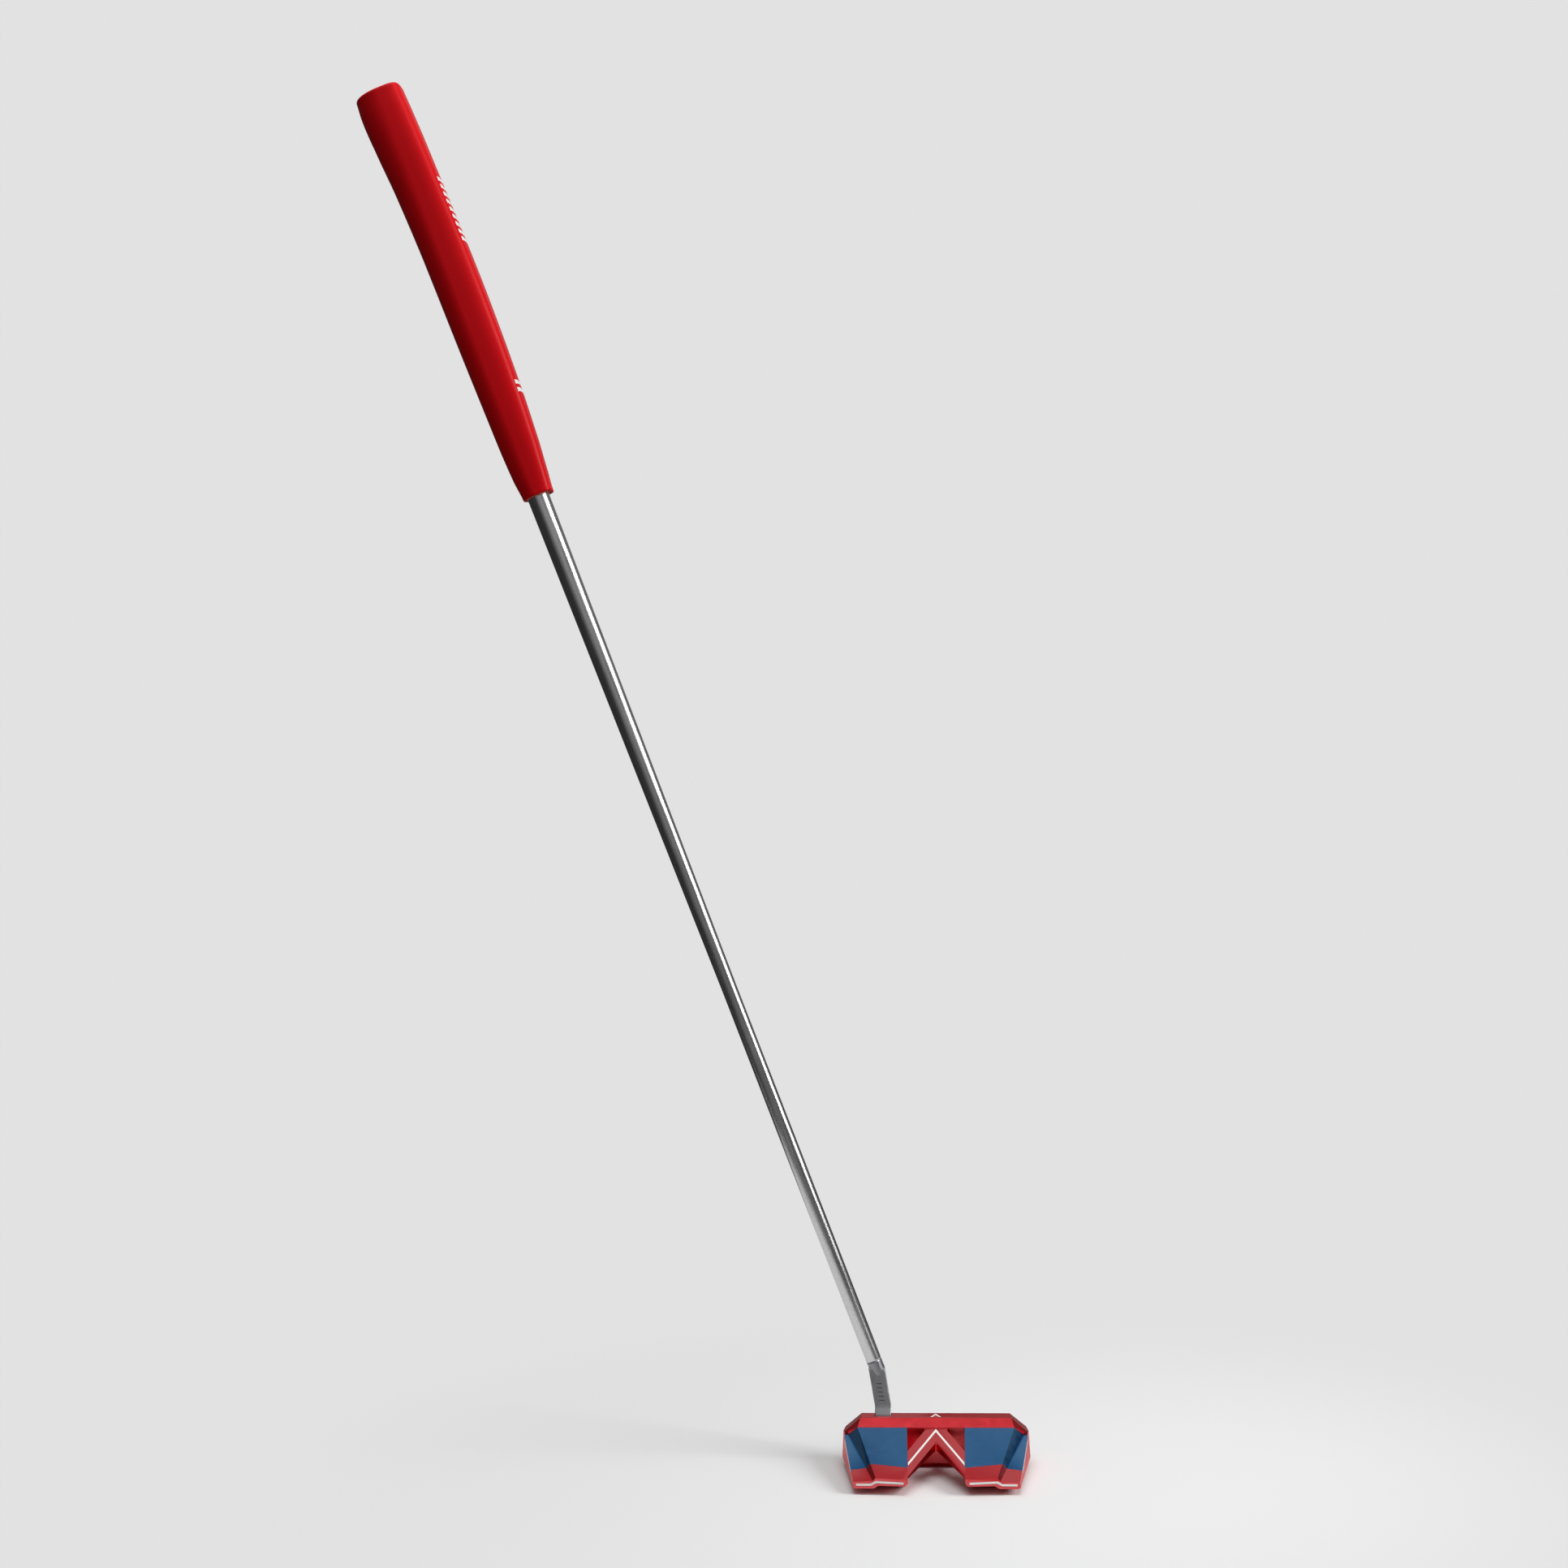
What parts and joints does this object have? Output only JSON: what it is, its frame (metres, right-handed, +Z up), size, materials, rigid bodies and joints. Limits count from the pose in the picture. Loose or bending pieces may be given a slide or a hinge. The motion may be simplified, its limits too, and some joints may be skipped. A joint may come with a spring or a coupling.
{
  "type": "golf putter",
  "caption": "Mallet putter: finned two-colour head with V brace, sole weights on screws, bent steel neck, tapered shaft and pistol grip.",
  "frame": {"origin": "middle of the front block's flat sole, on the ground", "axes": "+X from heel to toe, +Y towards the target, +Z up"},
  "size_m": [0.3972, 0.0895, 0.8366],
  "materials": {
    "anodised_red": "satin anodised, crimson",
    "anodised_blue": "satin anodised, steel blue",
    "insert_grey": "fine milled, light grey",
    "weight_steel": "turned, bead-blasted grey",
    "screw_steel": "bright zinc",
    "clip_steel": "black oxide",
    "white_enamel": "paint fill, slightly glossy",
    "silver_strip": "bare satin metal",
    "neck_steel": "satin grey",
    "mark_fill": "dark paint fill",
    "shaft_steel": "satin chromed steel",
    "epoxy": "cured adhesive",
    "tape": "double-sided paper tape",
    "foam_rubber": "closed-cell foam rubber",
    "grip_rubber": "satin polyurethane, red",
    "white_paint": "screen-printed white"
  },
  "bodies": {
    "club": {"head_body": "anodised_red", "face_insert": "insert_grey", "heel_wing_panel": "anodised_blue", "toe_wing_panel": "anodised_blue", "topline_chevron": "white_enamel", "brace_sight_line": "white_enamel", "heel_rear_line": "white_enamel", "toe_rear_line": "white_enamel", "heel_side_strip": "silver_strip", "toe_side_strip": "silver_strip", "neck": "neck_steel", "neck_screw": "screw_steel", "neck_marks": "mark_fill", "shaft": "shaft_steel", "shaft_bond": "epoxy", "grip_tape": "tape", "grip_underlisting": "foam_rubber", "grip_skin": "grip_rubber", "butt_cap": "grip_rubber", "grip_marks": "white_paint"},
    "heel_weight": {"heel_weight": "weight_steel"},
    "heel_weight_screw": {"heel_weight_screw": "screw_steel", "heel_weight_clip": "clip_steel"},
    "toe_weight": {"toe_weight": "weight_steel"},
    "toe_weight_screw": {"toe_weight_screw": "screw_steel", "toe_weight_clip": "clip_steel"}
  },
  "joints": [
    {"name": "heel_weight_lift", "type": "slide", "parent": "club", "child": "heel_weight", "axis": [0, 0, -1], "range_m": [0, 0.0064]},
    {"name": "heel_screw_turn", "type": "hinge", "parent": "heel_weight", "child": "heel_weight_screw", "pos_m": [-0.038, -0.0068, 0], "axis": [0, 0, -1], "range_deg": [0, 2880]},
    {"name": "toe_weight_lift", "type": "slide", "parent": "club", "child": "toe_weight", "axis": [0, 0, -1], "range_m": [0, 0.0064]},
    {"name": "toe_screw_turn", "type": "hinge", "parent": "toe_weight", "child": "toe_weight_screw", "pos_m": [0.038, -0.0068, 0], "axis": [0, 0, -1], "range_deg": [0, 2880]}
  ],
  "couplings": [
    {"joint": "heel_screw_turn", "follows": "heel_weight_lift", "rad_per_m": 7854},
    {"joint": "toe_screw_turn", "follows": "toe_weight_lift", "rad_per_m": 7854}
  ]
}
